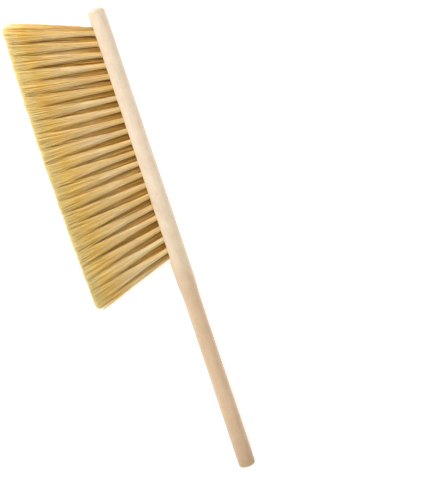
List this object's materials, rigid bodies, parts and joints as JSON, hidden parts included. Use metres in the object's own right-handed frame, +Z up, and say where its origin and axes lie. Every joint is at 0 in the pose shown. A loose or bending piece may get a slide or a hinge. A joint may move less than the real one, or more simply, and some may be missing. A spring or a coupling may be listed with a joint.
{
  "type": "dusting brush",
  "caption": "Long dusting brush: a round wooden stick with staggered rows of pale bristle tufts fanning out from one side, above a plain grip.",
  "frame": {"origin": "middle of the bottom of the whole brush's box, as it lies on its side", "axes": "+Y along the stick towards the head end, -X the way the bristles point, +Z up"},
  "size_m": [0.092, 0.4318, 0.0165],
  "materials": {
    "stick_wood": "satin",
    "bristle": "satin",
    "anchor_wire": "satin"
  },
  "bodies": {
    "root": {"handle": "stick_wood", "tuft_front_01": "bristle", "tuft_front_02": "bristle", "tuft_front_03": "bristle", "tuft_front_04": "bristle", "tuft_front_05": "bristle", "tuft_front_06": "bristle", "tuft_front_07": "bristle", "tuft_front_08": "bristle", "tuft_front_09": "bristle", "tuft_front_10": "bristle", "tuft_front_11": "bristle", "tuft_front_12": "bristle", "tuft_front_13": "bristle", "tuft_front_14": "bristle", "tuft_front_15": "bristle", "tuft_front_16": "bristle", "tuft_front_17": "bristle", "tuft_front_18": "bristle", "tuft_front_19": "bristle", "tuft_front_20": "bristle", "tuft_front_21": "bristle", "tuft_rear_01": "bristle", "tuft_rear_02": "bristle", "tuft_rear_03": "bristle", "tuft_rear_04": "bristle", "tuft_rear_05": "bristle", "tuft_rear_06": "bristle", "tuft_rear_07": "bristle", "tuft_rear_08": "bristle", "tuft_rear_09": "bristle", "tuft_rear_10": "bristle", "tuft_rear_11": "bristle", "tuft_rear_12": "bristle", "tuft_rear_13": "bristle", "tuft_rear_14": "bristle", "tuft_rear_15": "bristle", "tuft_rear_16": "bristle", "tuft_rear_17": "bristle", "tuft_rear_18": "bristle", "tuft_rear_19": "bristle", "tuft_rear_20": "bristle", "tuft_rear_21": "bristle", "tuft_rear_22": "bristle", "anchors_front": "anchor_wire", "anchors_rear": "anchor_wire"}
  },
  "joints": []
}
